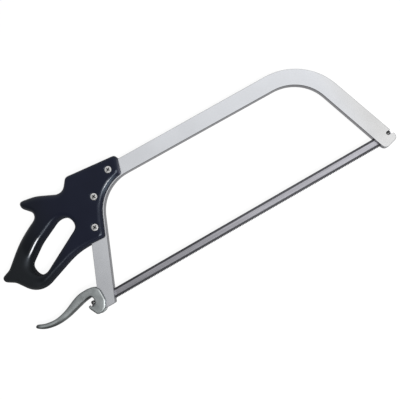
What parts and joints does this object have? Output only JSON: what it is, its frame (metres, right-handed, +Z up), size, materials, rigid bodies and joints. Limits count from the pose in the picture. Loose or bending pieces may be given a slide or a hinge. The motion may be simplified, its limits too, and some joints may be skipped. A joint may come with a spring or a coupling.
{
  "type": "kitchen bow saw",
  "caption": "Butcher's hand saw: bent flat-bar bow, moulded closed grip with a hand hole, pinned toothed blade and a forked cam lever that tensions the blade.",
  "frame": {"origin": "on the handle's flat lower flank, behind the lower screw", "axes": "+X along the blade towards its front pin, +Y from the teeth to the back of the bow, +Z up through the handle's thickness"},
  "size_m": [0.6213, 0.2153, 0.026],
  "materials": {
    "satin_bar": "satin",
    "black_moulding": "polished moulding",
    "blade_steel": "rolled",
    "bright_steel": "bright",
    "cast_metal": "cast and tumbled"
  },
  "bodies": {
    "frame": {"bow_frame": "satin_bar", "handle": "black_moulding", "handle_screw_top": "bright_steel", "handle_screw_middle": "bright_steel", "handle_screw_lower": "bright_steel", "handle_nut_top": "bright_steel", "handle_nut_middle": "bright_steel", "handle_nut_lower": "bright_steel"},
    "blade": {"saw_blade": "blade_steel", "blade_pin_front": "blade_steel", "blade_pin_rear": "blade_steel"},
    "lever": {"tension_lever": "cast_metal"}
  },
  "joints": [
    {"name": "blade_slide", "type": "slide", "parent": "frame", "child": "blade", "axis": [1, 0, 0], "range_m": [0, 0.003]},
    {"name": "lever_swing", "type": "hinge", "parent": "blade", "child": "lever", "pos_m": [-0.05083, -0.13949, 0.013], "axis": [0, 0, 1], "range_deg": [0, 95]}
  ],
  "couplings": [
    {"joint": "blade_slide", "follows": "lever_swing", "m_per_rad": 0.001804}
  ]
}
